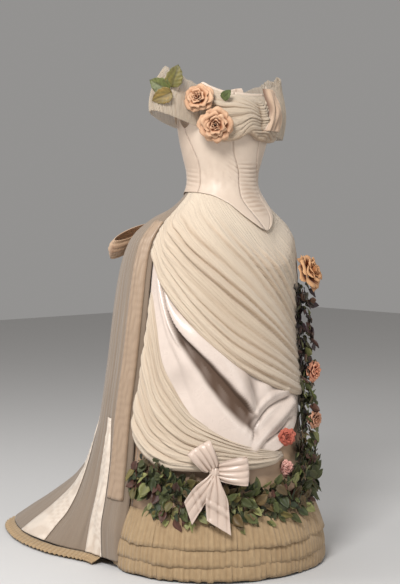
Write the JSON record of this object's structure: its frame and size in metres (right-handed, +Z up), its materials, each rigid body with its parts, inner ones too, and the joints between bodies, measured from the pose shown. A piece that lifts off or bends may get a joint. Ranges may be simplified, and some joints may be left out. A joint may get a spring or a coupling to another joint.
{
  "type": "bustle dress",
  "caption": "Historic ball gown with a pointed low bodice, draped satin and tulle skirt over pleated flounces, bustle back with a train, roses, leaf garlands and bows.",
  "frame": {"origin": "middle of the waist, on the gown's upright axis, 1.035 m above the floor its hem hangs to", "axes": "+Z up, -Y out of the centre front, +X to the wearer's left"},
  "size_m": [0.6824, 1.1049, 1.3515],
  "materials": {
    "satin_ivory": "soft sheen satin",
    "satin_peach": "soft sheen satin",
    "tulle_cream": "fine net, layered",
    "tulle_gold": "fine net, layered",
    "underskirt_satin": "satin",
    "rose_petal": "matte",
    "bud_petal": "matte",
    "leaf_cloth": "matte",
    "leaf_autumn": "matte",
    "leaf_dark": "matte"
  },
  "bodies": {
    "root": {"back_bow_knot": "satin_peach", "back_bow_loop_left": "satin_peach", "back_bow_loop_right": "satin_peach", "bertha_back": "tulle_cream", "bertha_front": "tulle_cream", "bodice_back_left": "satin_ivory", "bodice_back_right": "satin_ivory", "bodice_front_left": "satin_ivory", "bodice_front_right": "satin_ivory", "bodice_shirred_strip": "satin_ivory", "bodice_side_left": "satin_ivory", "bodice_side_right": "satin_ivory", "bust_leaf_inner": "leaf_cloth", "bust_leaf_low": "leaf_autumn", "bust_leaf_outer": "leaf_cloth", "bust_leaf_top": "leaf_autumn", "bust_rose_lower": "rose_petal", "bust_rose_upper": "rose_petal", "flounce_1": "tulle_gold", "flounce_2": "tulle_gold", "flounce_3": "tulle_gold", "front_bow_knot": "satin_ivory", "front_bow_loop_left": "satin_ivory", "front_bow_loop_right": "satin_ivory", "front_bow_tail_left": "satin_ivory", "front_bow_tail_right": "satin_ivory", "hem_garland_far": "leaf_cloth", "hem_garland_front": "leaf_cloth", "hem_garland_left": "leaf_cloth", "hem_garland_right": "leaf_cloth", "satin_apron": "satin_ivory", "shoulder_folds_left": "satin_ivory", "side_bud_pink": "bud_petal", "side_flower_peach": "rose_petal", "side_flower_red": "bud_petal", "side_garland_lower": "leaf_autumn", "side_garland_upper": "leaf_dark", "side_rose_large": "rose_petal", "side_rose_small": "bud_petal", "sleeve_left": "tulle_cream", "sleeve_right": "tulle_cream", "train_back": "tulle_cream", "train_edge_band_left": "satin_peach", "train_edge_band_right": "satin_peach", "train_frill": "tulle_gold", "train_left": "tulle_cream", "train_right": "tulle_cream", "train_streamer_back_left": "satin_ivory", "train_streamer_back_right": "satin_ivory", "train_streamer_front_left": "satin_ivory", "train_streamer_front_right": "satin_ivory", "tulle_apron": "tulle_cream", "tulle_swag": "tulle_cream", "underskirt_back": "underskirt_satin", "underskirt_front": "underskirt_satin", "underskirt_side_left": "underskirt_satin", "underskirt_side_right": "underskirt_satin"}
  },
  "joints": []
}
